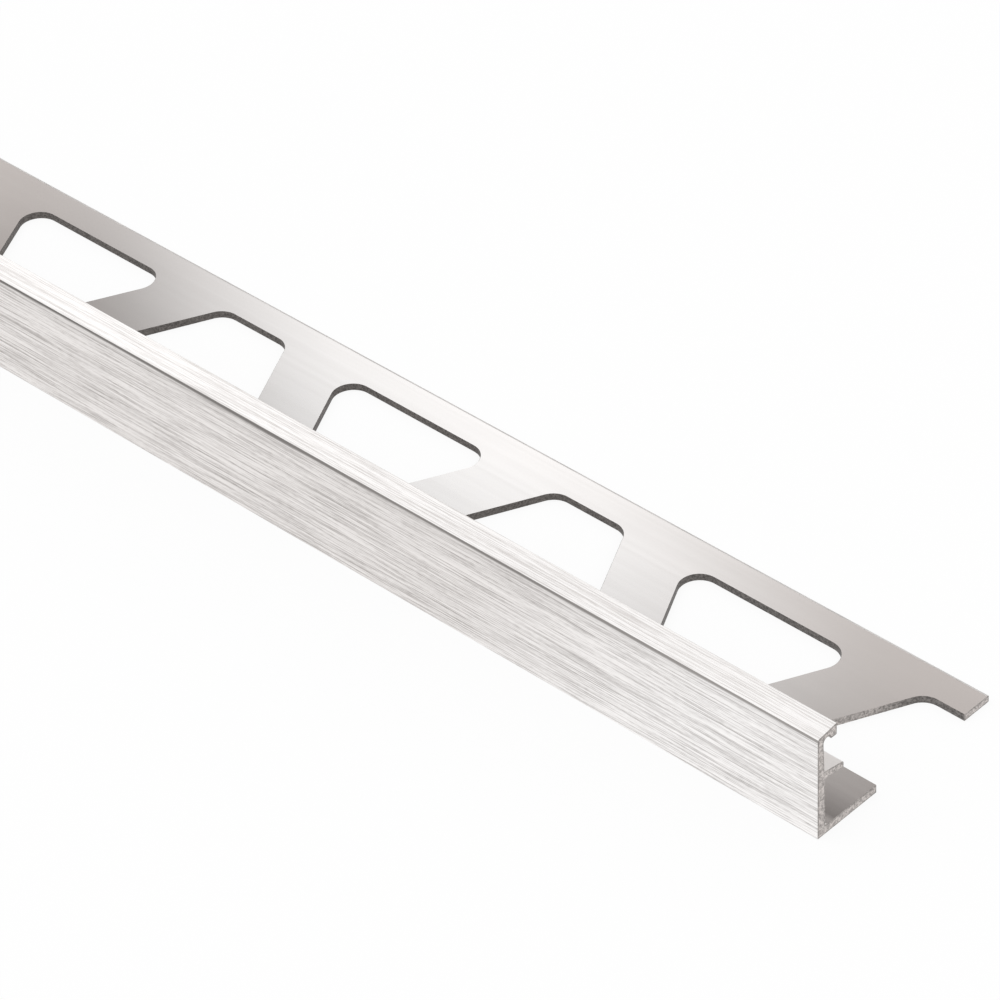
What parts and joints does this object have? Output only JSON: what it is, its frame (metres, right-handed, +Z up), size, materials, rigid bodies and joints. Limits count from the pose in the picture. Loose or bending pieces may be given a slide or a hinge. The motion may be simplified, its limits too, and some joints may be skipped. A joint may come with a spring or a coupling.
{
  "type": "tile edge trim",
  "caption": "Straight aluminium tile edge trim: thin brushed wall with a narrow hooked lip, spacer fin and a flat anchoring leg punched with alternating rounded trapezoid holes.",
  "frame": {"origin": "under the middle of the bar, on the floor plane, halfway between the front face and the rear rim of the leg", "axes": "+X along the bar, towards the cut end that faces the camera in the picture; +Y from the visible front face to the rear rim of the leg; +Z up, from the leg to the lip"},
  "size_m": [1, 0.025, 0.0125],
  "materials": {
    "aluminium": "fine brushed on the face and lip, satin on the leg, saw-cut ends"
  },
  "bodies": {
    "root": {"trim_profile": "aluminium"}
  },
  "joints": []
}
